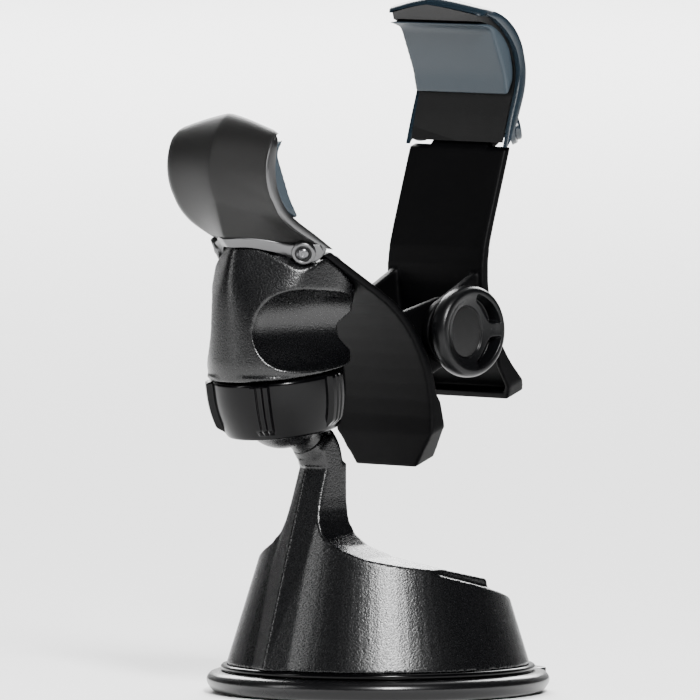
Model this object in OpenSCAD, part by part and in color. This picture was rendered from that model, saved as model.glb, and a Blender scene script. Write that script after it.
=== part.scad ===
// Suction-base phone mount: squeeze-clip cradle on a ball joint over a conical suction base.
// Row frame: origin at the centre of the suction face, +Z up, +X from the fixed jaw to the moving jaw.

/* [Base] */
// Diameter of the suction cup across its lip
cup_d = 71; // [66:0.5:76]
// Outer diameter of the base shell at its foot
shell_foot_d = 62.8; // [60:0.2:64]
// Lean of the shell wall from vertical
wall_lean = 17; // [15:0.5:19]
// Height of the sloped top above the cup centre
slope_z = 23.85; // [22:0.1:25]
// Fall of the sloped top towards +X
slope_lean = 13.1; // [10:0.5:15]

/* [Ball joint] */
// Diameter of the ball
ball_d = 17; // [16.5:0.5:17.5]
// Distance of the ball centre behind the cup centre
ball_back = 27.6; // [27:0.1:28]
// Height of the ball centre
ball_z = 59.8; // [59:0.1:61]
// Lean of the ball stem from vertical
stem_lean = 47; // [45:1:49]
// Lean of the socket axis from vertical
socket_lean = 8.5; // [7:0.5:10]
// Height of the collar nut
collar_h = 12.2; // [11.5:0.1:13]

/* [Cradle] */
// Lean of the cradle, the slope of the phone it holds
cradle_lean = 21.5; // [20:0.5:23]
// Hinge axle ahead of the cup centre
hinge_x = 8.6; // [8:0.1:9]
// Height of the hinge axle
hinge_z = 74.8; // [74:0.1:76]
// Width of each jaw plate
jaw_w = 28.6; // [27.6:0.2:29.6]
// Width of each claw
claw_w = 30.4; // [29:0.2:31]
// Half of the clear width between the pads
grip_half = 32.75; // [31:0.25:34]
// Diameter of the thumb wheel
wheel_d = 19; // [18:0.5:20]

/* [Hidden] */
$fn = 48;

fit = 0.05;        // running clearance, on the radius
gap = 0.3;         // clearance between curved faces of different bodies
touch = 0.03;      // gap between layers of one body

// ---------- base dimensions ----------
cup_top_z = 4.3;
skirt_z = 4.5;
skirt_t = 1.2;
skirt_d = 65.2;
plate_z = skirt_z + skirt_t + touch;
plate_t = 2.4;
shell_z = plate_z;
shell_wall = 2.2;
shell_r = shell_foot_d / 2;
wall_slope = tan(wall_lean);
keel_foot = 34.8;      // keel line, produced down to the ground
keel_slope = 0.3;
rod_r = 2;

// ---------- ball joint dimensions ----------
ball_r = ball_d / 2;
stem_r = 3.7;
liner_t = 1.6;
liner_r = ball_r + fit + liner_t;
socket_up = 7.4;               // collar top above the ball centre
socket_down = collar_h - socket_up;
collar_top_r = 13.8;
collar_foot_r = 11.6;
thread_r = 12.2;

// ---------- cradle dimensions ----------
jaw_arc_q = 41.1;      // centre of the jaw plate's curve, out from the hinge
jaw_arc_h = -3.5;        // and below it
jaw_arc_r = 30;
jaw_bend_h = 14;       // the plate runs straight above this height
jaw_top_h = 29.3;
jaw_foot_h = -24;
far_foot_h = -20;
jaw_straight_h = -17;  // and straight again below this one
jaw_foot_lean = 0.3;
jaw_t = 2.2;
jaw_foot_w = 17.6;
jaw_flare = 0.787;
lug_r = 6.9;
near_lug_y = 8.7;
far_lug_y = 11;
lug_t = 2;
axle_r = 2;
pin_q = 32.9;
pin_h = 31.6;
pin_half = 13.6;
pin_r = 1.15;
barrel_r = 2.4;
barrel_half = 8.4;
eye_r = 1.85;
claw_half = claw_w / 2;
shell_half = claw_half - 1.4;
shell_t = 1.5;
pad_half = shell_half - 1.2;
wheel_r = wheel_d / 2;
wheel_y = -18;
wheel_t = 4.4;

// ---------- frames ----------
module ball_frame() translate([-ball_back, 0, ball_z]) children();
module socket_frame() ball_frame() rotate([0, -socket_lean, 0]) children();
module stem_frame() ball_frame() rotate([0, 180 - stem_lean, 0]) children();
module cradle_frame() translate([hinge_x, 0, hinge_z]) rotate([0, -cradle_lean, 0]) children();
// Jaw frame: x runs outwards from the hinge axle, z up along the jaw
module far_frame() cradle_frame() children();
module near_frame() cradle_frame() mirror([1, 0, 0]) children();
// Extrude an outline drawn in x and z over a width along y
module across(width, y = 0)
    translate([0, y, 0]) rotate([90, 0, 0]) linear_extrude(width, center = true) children();

// ---------- lofted solids ----------
// Solid through a list of rings, each with the same number of points. The end faces are whole, or
// for a ring that goes along one face of a wall and back along the other, split across the wall
module loft(rings, split = false) {
    n = len(rings[0]);
    m = len(rings);
    last = (m - 1) * n;
    points = [for (r = rings) for (p = r) p];
    sides = [for (i = [0:m - 2]) for (j = [0:n - 1])
        [i * n + j, i * n + (j + 1) % n, (i + 1) * n + (j + 1) % n, (i + 1) * n + j]];
    first_end = split ? [for (j = [0:n / 2 - 2]) [j, j + 1, n - 2 - j, n - 1 - j]]
        : [[for (j = [0:n - 1]) j]];
    last_end = split ? [for (j = [0:n / 2 - 2]) [last + n - 1 - j, last + n - 2 - j, last + j + 1, last + j]]
        : [[for (j = [n - 1:-1:0]) last + j]];
    polyhedron(points, concat([for (f = sides) [f[0], f[2], f[1]]],
        [for (f = sides) [f[0], f[3], f[2]]], first_end, last_end), convexity = 6);
}

// Outer radius of the base shell, and the reach of the keel behind it, at a height
function cone_r(z) = shell_r - (z - shell_z) * wall_slope;
function keel_x(z) = keel_foot - keel_slope * z;
// Cone of the base shell with its keel, drawn in by inset, between two heights
module keeled_cone(z0, z1, inset = 0) {
    translate([0, 0, z0]) cylinder(h = z1 - z0, r1 = cone_r(z0) - inset, r2 = cone_r(z1) - inset, $fn = 96);
    loft([for (z = [z0, z1]) let (r = cone_r(z) - inset, k = keel_x(z) - inset)
        [[-k, 0, z], [-r * 0.90, -r * 0.38, z], [-r * 0.7, -r * 0.3, z],
            [-r * 0.7, r * 0.3, z], [-r * 0.90, r * 0.38, z]]]);
}

// Neck above the slope: half width in the front view and leading face in the side view
neck_low = 24;
neck_high = 48;
neck_top_w = 4.2;
function neck_w(t) = min(24, neck_top_w + 40 * pow(1 - t, 5.9));
function neck_front(t) = -12.8 + 21 * pow(1 - t, 8);
function neck_at(i) = neck_low + (neck_high - neck_low) * i / 10;
module neck_limits() {
    translate([-50, 0, 0]) rotate([90, 0, 90]) linear_extrude(60) polygon(concat(
        [[24, 18], [24, 22]], [for (i = [0:10]) [neck_w(i / 10), neck_at(i)]],
        [for (i = [10:-1:0]) [-neck_w(i / 10), neck_at(i)]], [[-24, 22], [-24, 18]]));
}
module neck_profile()
    across(60) polygon(concat([[-50, 18], [-50, neck_high]],
        [for (i = [10:-1:0]) [neck_front(i / 10), neck_at(i)]], [[8.5, 22.1], [8.5, 18]]));

module slope_cut(drop = 0)
    translate([0, 0, slope_z - drop]) rotate([0, slope_lean, 0])
        translate([-60, -60, 0]) cube([120, 120, 60]);

// ---------- base ----------
module suction_cup() color("#1c1c1e") {
    lip_r = cup_d / 2;
    difference() {
        union() {
            rotate_extrude($fn = 96) polygon([
                [0, 0], [lip_r - 3.4, 0], [lip_r - 1, 1], [lip_r, 2.1], [lip_r, 3],
                [lip_r - 0.6, cup_top_z - 0.4], [lip_r - 1.6, cup_top_z],
                [lip_r - 6, cup_top_z], [lip_r - 9, 2.6], [13, 2.6], [12, 3.6], [0, 3.6]]);
            translate([lip_r - 3, -5.5, 1.8]) cube([7, 11, 1.3]);
            translate([lip_r + 4, 0, 1.8]) cylinder(h = 1.3, r = 5.5);
        }
        translate([0, 0, 1.2]) cylinder(h = 5, r = 9);
    }
}

module base_skirt() color("#222224")
    difference() {
        translate([0, 0, skirt_z]) cylinder(h = skirt_t, r = skirt_d / 2, $fn = 96);
        translate([0, 0, skirt_z - 1]) cylinder(h = skirt_t + 2, r = shell_r - 6, $fn = 96);
    }

screw_spots = [for (a = [45:90:315]) [21.5 * cos(a), 21.5 * sin(a)]];

module base_plate() color("#3a3a3c")
    difference() {
        union() {
            translate([0, 0, plate_z]) cylinder(h = plate_t, r = shell_r - shell_wall - 1.1, $fn = 96);
            translate([0, 0, plate_z]) cylinder(h = 5, r = 5);
        }
        translate([0, 0, plate_z - 1]) cylinder(h = 8, r = rod_r + fit);
        for (p = screw_spots) translate([p[0], p[1], plate_z - 1]) cylinder(h = 5, r = 1.4);
    }

module base_screws() color("silver")
    for (p = screw_spots) translate([p[0], p[1], plate_z]) {
        translate([0, 0, -1.5]) cylinder(h = 1.5 - touch, r = 2.4);
        translate([0, 0, -1.4]) cylinder(h = 9, r = 1.2);
    }

module base_shell() color("#202022")
    difference() {
        union() {
            difference() {
                keeled_cone(shell_z, neck_high);
                difference() {
                    slope_cut();
                    intersection() {
                        neck_limits();
                        neck_profile();
                    }
                }
            }
            neck_elbow();
        }
        difference() {
            translate([0, 0, shell_z - 1]) cylinder(h = 25, r1 = cone_r(shell_z - 1) - shell_wall,
                r2 = cone_r(shell_z + 24) - shell_wall, $fn = 96);
            slope_cut(shell_wall);
            for (p = screw_spots) translate([p[0], p[1], plate_z + plate_t + touch])
                cylinder(h = 20, r = 2.6);
        }
        for (p = screw_spots) translate([p[0], p[1], plate_z]) cylinder(h = 8.2, r = 1.2 + touch);
        lever_well();
        stem_frame() cylinder(h = 17.05, r = 2.5 + touch);
        stem_frame() cylinder(h = ball_r + 1.65, r = ball_r - 1);
    }

// Bent top of the neck, turning from upright to the line of the ball stem
module neck_elbow() {
    bend_r = 6;
    half = 4.4;
    translate([-17.2 - bend_r, 0, neck_high - 0.5]) rotate([90, 0, 0])
        rotate_extrude(angle = stem_lean) translate([bend_r, 0]) polygon([
            [-half, -0.8], [-half + 2.8, -neck_top_w], [half - 1.4, -neck_top_w],
            [half, -neck_top_w + 1.4], [half, neck_top_w - 1.4], [half - 1.4, neck_top_w],
            [-half + 2.8, neck_top_w], [-half, 0.8]]);
    stem_frame() translate([0, 0, ball_r + 1.7]) cylinder(h = 2.2, r1 = stem_r + 0.1, r2 = 4.2);
}

// Recess in the sloped top that the lever folds into, with the slot its cam works in
lever_w = 16;
lever_pin_x = 2.6;
lever_len = 17;
module slope_frame() translate([0, 0, slope_z]) rotate([0, slope_lean, 0]) children();
module lever_well() {
    slope_frame() translate([-6.5, -lever_w / 2 - 0.5, -3.4]) cube([lever_len + 6.5, lever_w + 1, 10]);
    slope_frame() translate([lever_len, 0, -3.4]) cylinder(h = 10, r = lever_w / 2 + 0.5);
    translate([-4, -5, slope_z - 13]) cube([13.5, 10, 20]);
    slope_frame() translate([0, 0, -1.2]) rotate([90, 0, 0])
        cylinder(h = lever_w + 5, r = 1.25 + touch, center = true);
}

module lever_pin() color("silver")
    slope_frame() translate([0, 0, -1.2]) rotate([90, 0, 0])
        cylinder(h = lever_w + 4, r = 1.25, center = true);

module suction_lever() color("#1a1a1c")
    slope_frame() difference() {
        union() {
            translate([0, -lever_w / 2, -2.9]) cube([lever_len, lever_w, 3.1]);
            translate([lever_len, 0, -2.9]) cylinder(h = 3.1, r = lever_w / 2);
            translate([0, 0, -1.2]) rotate([90, 0, 0]) cylinder(h = lever_w, r = 2.9, center = true);
            for (i = [0:3]) translate([lever_len + 1 + i * 1.6, -5 + i * 0.4, 0.1])
                cube([0.7, 10 - i * 0.8, 0.5]);
        }
        translate([0, 0, -1.2]) rotate([90, 0, 0]) cylinder(h = lever_w + 2, r = 1.25 + fit, center = true);
    }

rod_top = slope_z - 4.45;
module plunger_rod() color("silver") {
    translate([0, 0, 3.9]) cylinder(h = 1.4, r = 8);
    translate([0, 0, 3.9]) cylinder(h = rod_top - 3.9, r = rod_r);
    translate([0, 0, rod_top - 1.2]) cylinder(h = 1.2, r = 3.4);
}

// Open coil of round wire: centre radius, wire radius, start and end heights, turns
module coil(r, wire, z0, z1, turns) {
    steps = turns * 16;
    loft([for (i = [0:steps]) let (a = 360 * turns * i / steps, z = z0 + (z1 - z0) * i / steps)
        [for (k = [0:5]) let (s = r + wire * cos(k * 60), y = wire * sin(k * 60))
            [s * cos(a), s * sin(a), z + y]]]);
}

module rod_spring() color("gray")
    coil(3.4, 0.4, plate_z + 5.45, rod_top - 1.65, 5);

// ---------- ball joint ----------
module ball_stud() color("#161618") {
    ball_frame() sphere(r = ball_r, $fn = 96);
    stem_frame() cylinder(h = ball_r + 1.6, r = stem_r);
    stem_frame() cylinder(h = 17, r = 2.5);
}

// Quarter outline of a spherical shell between two angles from the top
module zone(r0, r1, a0, a1)
    rotate_extrude($fn = 96) polygon(concat(
        [for (i = [0:12]) let (a = a0 + (a1 - a0) * i / 12) [r1 * sin(a), r1 * cos(a)]],
        [for (i = [12:-1:0]) let (a = a0 + (a1 - a0) * i / 12) [r0 * sin(a), r0 * cos(a)]]));

module ball_seat_pad() color("ivory")
    socket_frame() difference() {
        sphere(r = liner_r, $fn = 96);
        sphere(r = ball_r + fit, $fn = 96);
        translate([0, 0, -20]) cube([40, 40, 49.6], center = true);
        cylinder(h = 20, r = 2);
    }

module ball_grip_ring() color("ivory")
    socket_frame() difference() {
        translate([0, 0, -2.8]) cylinder(h = 4.8, r1 = 10.6, r2 = 11.9, $fn = 96);
        sphere(r = ball_r + fit, $fn = 96);
    }

module collar_nut() color("#101012")
    socket_frame() difference() {
        union() {
            rotate_extrude($fn = 96) polygon([
                [0, -socket_down], [collar_foot_r - 0.8, -socket_down], [collar_foot_r, -socket_down + 0.5],
                [collar_foot_r + 0.9, -socket_down + 2], [collar_top_r - 0.5, 0], [collar_top_r, 3],
                [collar_top_r, socket_up - 0.4], [collar_top_r - 0.4, socket_up], [0, socket_up]]);
            for (a = [0:72:288]) rotate(a - 5.7) collar_rib();
        }
        translate([0, 0, 2]) cylinder(h = 10, r = thread_r + fit, $fn = 96);
        translate([0, 0, -3]) cylinder(h = 5.01, r1 = 10.7, r2 = 12.1, $fn = 96);
        translate([0, 0, -3.5]) cylinder(h = 2, r = 9, $fn = 96);
        translate([0, 0, -socket_down - 0.01]) cylinder(h = 1.9, r1 = 10.1, r2 = 9, $fn = 96);
    }

// One grip rib of the collar nut, standing proud of its wall
module collar_rib()
    rotate([90, 0, 0]) linear_extrude(4.2, center = true) polygon([
        [11, -socket_down + 1.4], [collar_foot_r + 1, -socket_down + 1.4], [collar_top_r + 1, 0.4],
        [collar_top_r + 1.3, 3], [collar_top_r + 1.3, socket_up - 0.5], [collar_top_r + 0.8, socket_up],
        [12.6, socket_up]]);

// ---------- cradle head ----------
// The housing is where its side view, its plan and a cone round the socket axis all meet
house_foot = ball_z + 7.2;
module house_side()
    across(40) polygon([
        [-42.4, house_foot - 7], [-43, 68], [-43.5, 71], [-43.5, 79], [-42.9, 86], [-42.3, 94],
        [-24, 95], [-10.6, 84], [-10.6, 81], [-15, 79.6], [-18.2, 77], [-18.2, 74.5], [-15.6, 70.5],
        [-14.6, house_foot], [-14.6, house_foot - 7]]);
// Planes that draw the housing in towards the claw's two facets, on either side of its ridge
module house_facets()
    for (s = [-1, 1]) translate([-42.7, 0, 92]) rotate([0, 16, -33 * s])
        translate([-40, -50, -60]) cube([40, 100, 100]);
module house_plan()
    translate([-28.6, 0, house_foot - 8]) linear_extrude(50) polygon([for (i = [0:47]) let (a = i * 7.5)
        [15.6 * sign(cos(a)) * pow(abs(cos(a)), 0.9), 13.9 * sign(sin(a)) * pow(abs(sin(a)), 0.9)]]);

module head_housing() color("#202022")
    difference() {
        union() {
            intersection() {
                house_side();
                house_plan();
                socket_frame() translate([0, 0, socket_up - 5])
                    cylinder(h = 34, r1 = collar_top_r - 1, r2 = collar_top_r + 9, $fn = 96);
            }
            socket_frame() translate([0, 0, 2.3]) cylinder(h = 9, r = thread_r - fit, $fn = 96);
        }
        socket_frame() translate([0, 0, socket_up]) rotate([180, 0, 0]) difference() {
            translate([0, 0, -0.5]) cylinder(h = 12, r = 30);
            translate([0, 0, -1]) cylinder(h = 14, r = thread_r - fit, $fn = 96);
        }
        socket_frame() sphere(r = liner_r + fit, $fn = 96);
        for (s = [-1, 1]) thumb_scoop(s);
        house_facets();
        near_frame() across(60) plate_side(jaw_t + 30, 0.03);
        near_frame() translate([pin_q, 0, pin_h]) rotate([90, 0, 0])
            cylinder(h = 60, r = barrel_r + touch, center = true);
        near_frame() across(60) polygon([
            [20, pin_h - 2.4], [28, pin_h - 2.4], [30, pin_h + 0.6], [pin_q + 3.4, pin_h + 0.6],
            [pin_q + 3.4, 60], [20, 60]]);
        near_frame() across(barrel_half * 2 + 0.2) polygon([
            [23, 25], [jaw_out(25) + 0.1, 25], [jaw_out(27) + 2.2, 28],
            [pin_q + 0.4, pin_h - barrel_r - 0.1], [pin_q, 34], [23, 34]]);
        near_frame() house_eye_room();
        near_frame() house_band_room();
        near_frame() house_pocket();
        near_frame() for (p = jaw_screw_spots) jaw_screw_hole(p, 1.1);
    }

// Room beside the barrel for the claw's eyes, and under its band for the claw to turn
module house_eye_room()
    for (s = [-1, 1]) translate([0, s * (barrel_half + 3), 0]) {
        translate([pin_q, 0, pin_h]) rotate([90, 0, 0])
            cylinder(h = 6, r = eye_r + gap, center = true);
        across(6) polygon([[27, pin_h - 2], [pin_q, pin_h - eye_r - gap], [pin_q, 36], [27, 36]]);
    }
module house_band_room()
    translate([pin_q - 6, 0, 0]) from_front(16) polygon(concat(
        [for (j = [-6:6]) [claw_half * j / 6, band_h(abs(j) / 6) - band_t - 0.75]],
        [[claw_half, 45], [-claw_half, 45]]));

// Hollow behind the jaw plate, around the screw bosses
jaw_screw_spots = [[18, 0], [24, -8.5], [24, 8.5]];
module house_pocket()
    difference() {
        across(13) polygon([[16, 15], [22, 16.5], [31, 21], [33, 25], [32, 27.4], [26, 27.4]]);
        for (p = jaw_screw_spots) translate([jaw_out(p[0]) - 2, p[1], p[0]])
            rotate([0, 90, 0]) cylinder(h = 20, r = 2.4);
    }

// Finger scoop on a side of the housing: a ball with a cone lying ahead of it along X
module thumb_scoop(s)
    translate([-38.2, s * 15.2, house_foot + 9.4]) {
        sphere(r = 9.6);
        rotate([0, 90, 0]) cylinder(h = 34, r1 = 9.3, r2 = 6.4);
    }

// ---------- jaws ----------
// Outer face of a jaw plate at height h, in the jaw frame
function jaw_arc(h) = jaw_arc_q - sqrt(pow(jaw_arc_r, 2) - pow(h - jaw_arc_h, 2));
function jaw_out(h) = h < jaw_straight_h ? jaw_arc(jaw_straight_h) + (jaw_straight_h - h) * jaw_foot_lean
    : h < jaw_bend_h ? jaw_arc(h) : jaw_arc(jaw_bend_h) + (h - jaw_bend_h) * jaw_flare;
jaw_hs = [for (i = [0:16]) jaw_foot_h + (jaw_top_h - jaw_foot_h) * i / 16];

// Side view of a jaw plate of a thickness, with its outer face moved outwards by grow
module plate_side(t, grow = 0)
    polygon(concat([for (h = jaw_hs) [jaw_out(h) + grow, h]],
        [for (i = [16:-1:0]) [jaw_out(jaw_hs[i]) - t, jaw_hs[i]]]));

// Front view of a jaw plate, with clipped lower corners
module plate_front(side, inset = 0) {
    foot_h = side < 0 ? jaw_foot_h : far_foot_h;
    foot_w = side < 0 ? jaw_foot_w : jaw_w - 4;
    clip = side < 0 ? 7 : 3;
    polygon([
        [-jaw_w / 2 + inset, jaw_top_h + 1], [jaw_w / 2 - inset, jaw_top_h + 1],
        [jaw_w / 2 - inset, foot_h + clip], [foot_w / 2 - inset / 2, foot_h + inset],
        [-foot_w / 2 + inset / 2, foot_h + inset], [-jaw_w / 2 + inset, foot_h + clip]]);
}

module from_front(depth) rotate([90, 0, 90]) linear_extrude(depth) children();

module jaw_plate(lug_y, side) {
    difference() {
        union() {
            intersection() {
                across(jaw_w) plate_side(jaw_t);
                from_front(60) plate_front(side);
            }
            jaw_rim(side);
            for (s = [-1, 1]) translate([0, s * (lug_y + lug_t / 2), 0]) jaw_lug();
            jaw_barrel();
        }
        rotate([90, 0, 0]) cylinder(h = 60, r = axle_r + (side < 0 ? touch : fit), center = true);
        translate([pin_q, 0, pin_h]) rotate([90, 0, 0])
            cylinder(h = 60, r = pin_r + touch, center = true);
    }
}

// Rim round the inside of the handle end, tapering away upwards
module jaw_rim(side)
    difference() {
        intersection() {
            across(jaw_w) polygon([
                [jaw_out(-7) - 1, -7], [jaw_out(-12) - 3.2, -12], [jaw_out(-18) - 4.6, -18],
                [jaw_out(jaw_foot_h) - 6, jaw_foot_h], [jaw_out(jaw_foot_h) - 1, jaw_foot_h],
                [jaw_out(-18) - 1, -18], [jaw_out(-12) - 1, -12]]);
            from_front(60) plate_front(side);
        }
        from_front(60) plate_front(side, 1.5);
    }

// Hinge lug: a disc on the axle with a web out to the plate
module jaw_lug()
    across(lug_t) union() {
        circle(r = lug_r);
        polygon([
            [0, lug_r], [jaw_out(8.4) - 1.2, 8.4], [jaw_out(0) - 1.2, 0],
            [jaw_out(-7) - 1, -7.5], [0, -lug_r]]);
    }

// Barrel that carries the claw pin, and the web that joins it to the plate
module jaw_barrel() {
    translate([pin_q, 0, pin_h]) rotate([90, 0, 0]) cylinder(h = barrel_half * 2, r = barrel_r, center = true);
    across(barrel_half * 2) polygon([
        [jaw_out(jaw_top_h) - jaw_t, jaw_top_h], [jaw_out(26) - 0.6, 26], [jaw_out(27) + 2, 28.2],
        [pin_q + 0.2, pin_h - barrel_r], [pin_q - 1.4, pin_h + 1.4], [pin_q - 4.2, 30.6]]);
}

module jaw_screw_hole(p, r)
    translate([jaw_out(p[0]) - 2.4, p[1], p[0]]) rotate([0, 90, 0]) cylinder(h = 9.8, r = r);

module near_jaw_plate() color("#232325")
    near_frame() difference() {
        jaw_plate(near_lug_y, -1);
        for (p = jaw_screw_spots) jaw_screw_hole(p, 1.25);
        for (p = jaw_screw_spots) translate([jaw_out(p[0]) - 9, p[1], p[0]])
            rotate([0, 90, 0]) cylinder(h = 7.2, r = 2.3);
    }

module far_jaw_plate() color("#232325")
    far_frame() jaw_plate(far_lug_y, 1);

module jaw_screws() color("silver")
    near_frame() for (p = jaw_screw_spots) translate([jaw_out(p[0]), p[1], p[0]]) rotate([0, 90, 0]) {
        translate([0, 0, -3.25]) cylinder(h = 1.4, r = 2.1);
        translate([0, 0, -3]) cylinder(h = 8.5, r = 0.9);
    }

// ---------- hinge ----------
axle_end = 14.6;
module hinge_axle() color("silver")
    cradle_frame() rotate([90, 0, 0]) {
        translate([0, 0, -axle_end]) cylinder(h = axle_end - wheel_y - 0.1, r = axle_r);
        translate([0, 0, -axle_end]) cylinder(h = 1.2, r = 3.4);
    }

module axle_clip() color("gray")
    cradle_frame() rotate([90, 0, 0]) difference() {
        translate([0, 0, far_lug_y + lug_t + 0.12]) cylinder(h = 0.75, r = 3.6);
        translate([0, 0, 12]) cylinder(h = 4, r = axle_r + touch);
    }

module torsion_spring() color("gray")
    cradle_frame() rotate([90, 0, 0]) coil(3.2, 0.6, -6.2, 6.2, 7);

// Thumb wheel: rounded rim, raised hub and three spokes with open windows between
rim_w = 3.2;
module thumb_wheel() color("#2b2b2e")
    cradle_frame() translate([0, wheel_y, 0]) rotate([90, 0, 0]) difference() {
        union() {
            rotate_extrude($fn = 96) polygon([
                [wheel_r - rim_w, -1.2], [wheel_r - rim_w + 1, -2.2], [wheel_r - 0.9, -2.2],
                [wheel_r, -1.3], [wheel_r, 1], [wheel_r - 0.9, 1.9], [wheel_r - rim_w + 1, 1.9],
                [wheel_r - rim_w, 1.1]]);
            translate([0, 0, -2.2]) cylinder(h = wheel_t, r = 4.1, $fn = 96);
            for (a = [0:120:240]) rotate(a - 25) translate([3, -1.3, -1]) cube([wheel_r - rim_w - 2.2, 2.6, 2.6]);
        }
        translate([0, 0, -3]) cylinder(h = 3.1, r = 3 + touch);
    }

module wheel_insert() color("goldenrod")
    cradle_frame() rotate([90, 0, 0]) difference() {
        translate([0, 0, -wheel_y - 4]) cylinder(h = 4, r = 3);
        translate([0, 0, 10]) cylinder(h = 12, r = axle_r + fit);
    }

// ---------- claws ----------
// Centre line and side line of the claw's outer face, from the foot to the tip
function arc_point(q, h, r, a) = [q + r * cos(a), h + r * sin(a)];
claw_n = 12;
claw_foot = [[30.4, 32.3], [33.4, 35.4], [36.3, 39], [37.8, 42.5]];
function claw_centre(i) = i < 4
    ? let (t = i / 4) [41.4 - 0.64 * t, 38 + 8 * t]
    : arc_point(26.6, 48, 14.3, -8 + 84 * (i - 4) / 8);
function claw_side(i) = i < 4 ? claw_foot[i]
    : arc_point(26.9, 48, 11.75, -10 + 76 * (i - 4) / 8);
function claw_turn(i) = i < 4 ? 0 : -9 + 80 * (i - 4) / 8;
// Share of the centre line's crown that is left at a share v of the half width
function crown(v) = 1 - 0.72 * v - 0.28 * v * v;
function claw_outer(i, v, inset) = let (
        s = claw_side(i), c = claw_centre(i), k = crown(v), a = claw_turn(i))
    [s[0] + (c[0] - s[0]) * k - inset * cos(a), s[1] + (c[1] - s[1]) * k - inset * sin(a)];
function claw_ring(i, half, out_in, inner_in) = [for (d = [0, 1]) for (j = [-4:4])
    let (k = d == 0 ? j : -j, p = claw_outer(i, abs(k) / 4 * half / claw_half, d == 0 ? out_in : inner_in))
    [p[0], half * k / 4, p[1]]];

module claw_shell() color("#6d6d72")
    loft([for (i = [0:claw_n]) claw_ring(i, shell_half, 0, shell_t)], split = true);

// Inner line of the dark body: drawn in below the bend, a fixed depth under the outer face above it
body_depth = 2.6;
body_foot = [[27.4, 30.6], [30, 34.7], [32.6, 38.6], [35.2, 42.5]];
function body_inner(i) = i < 4 ? body_foot[i] : claw_outer(i, 1, body_depth);
module claw_body() color("#1d1d20")
    difference() {
        across(shell_half * 2 - 0.1) polygon(concat(
            [for (i = [0:claw_n]) claw_outer(i, 1, shell_t + touch)],
            [for (i = [claw_n:-1:0]) body_inner(i)], [[28.2, 29.9]]));
        translate([pin_q, 0, pin_h]) rotate([90, 0, 0]) cylinder(h = 60, r = barrel_r + 0.6, center = true);
        across(barrel_half * 2 + 0.5) polygon([
            [27.5, 28], [27.5, 31.2], [29.5, 32.6], [31.5, 34], [33, 33], [33, 28]]);
    }

module claw_pad() color("#5c6570")
    across(pad_half * 2) polygon(concat(
        [for (i = [3:claw_n]) claw_outer(i, 1, body_depth + touch)],
        [[30.4, 55.2], [grip_half, 53.4], [grip_half, 43.6], [31.9, 39.3], [32.6, 39.3]]));

// Bright edge of the claw: a strip on each side, the band below, and the eyes that hold the pin
strip_w = 1.36;
module claw_trim() color("silver")
    difference() {
        union() {
            for (s = [-1, 1]) translate([0, s * (claw_half - strip_w / 2), 0])
                across(strip_w) polygon(concat(
                    [for (i = [0:claw_n]) claw_outer(i, 0.96, 0)],
                    [for (i = [claw_n:-1:0]) claw_outer(i, 0.96, i < claw_n - 1 ? 2.5 : 1.2)],
                    [[27.8, 30.2], [30.4, 30]]));
            for (s = [-1, 1]) translate([pin_q, s * (barrel_half + 0.25 + eye_w / 2), pin_h])
                rotate([90, 0, 0]) cylinder(h = eye_w, r = eye_r, center = true);
            claw_band();
        }
        translate([pin_q, 0, pin_h]) rotate([90, 0, 0]) cylinder(h = 60, r = pin_r + fit, center = true);
    }

// Arched band under the shell, following its crown
eye_w = 4.2;
band_t = 1.8;
function band_q(v) = 30.1 + 11.3 * crown(v);
function band_h(v) = 32 + 5.8 * crown(v);
module claw_band()
    intersection() {
        translate([0, 0, 25]) linear_extrude(15) polygon(concat(
            [for (j = [-6:6]) [band_q(abs(j) / 6), claw_half * j / 6]],
            [for (j = [6:-1:-6]) [band_q(abs(j) / 6) - 1, claw_half * j / 6]]));
        translate([30, 0, 0]) rotate([90, 0, 90]) linear_extrude(20) polygon(concat(
            [for (j = [-6:6]) [claw_half * j / 6, band_h(abs(j) / 6)]],
            [for (j = [6:-1:-6]) [claw_half * j / 6, band_h(abs(j) / 6) - band_t]]));
    }

module claw_pin() color("silver")
    translate([pin_q, 0, pin_h]) rotate([90, 0, 0]) cylinder(h = 2 * pin_half, r = pin_r, center = true);

module near_claw_pin() near_frame() claw_pin();
module near_claw_shell() near_frame() claw_shell();
module near_claw_trim() near_frame() claw_trim();
module near_claw_body() near_frame() claw_body();
module near_claw_pad() near_frame() claw_pad();
module far_claw_pin() far_frame() claw_pin();
module far_claw_shell() far_frame() claw_shell();
module far_claw_trim() far_frame() claw_trim();
module far_claw_body() far_frame() claw_body();
module far_claw_pad() far_frame() claw_pad();

suction_cup();
base_skirt();
base_plate();
base_screws();
base_shell();
lever_pin();
suction_lever();
plunger_rod();
rod_spring();
ball_stud();
ball_seat_pad();
ball_grip_ring();
collar_nut();
head_housing();
near_jaw_plate();
jaw_screws();
hinge_axle();
axle_clip();
torsion_spring();
thumb_wheel();
wheel_insert();
near_claw_pin();
near_claw_shell();
near_claw_trim();
near_claw_body();
near_claw_pad();
far_jaw_plate();
far_claw_pin();
far_claw_shell();
far_claw_trim();
far_claw_body();
far_claw_pad();
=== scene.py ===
import math
import bpy
import bmesh
from mathutils import Matrix, Vector


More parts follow.
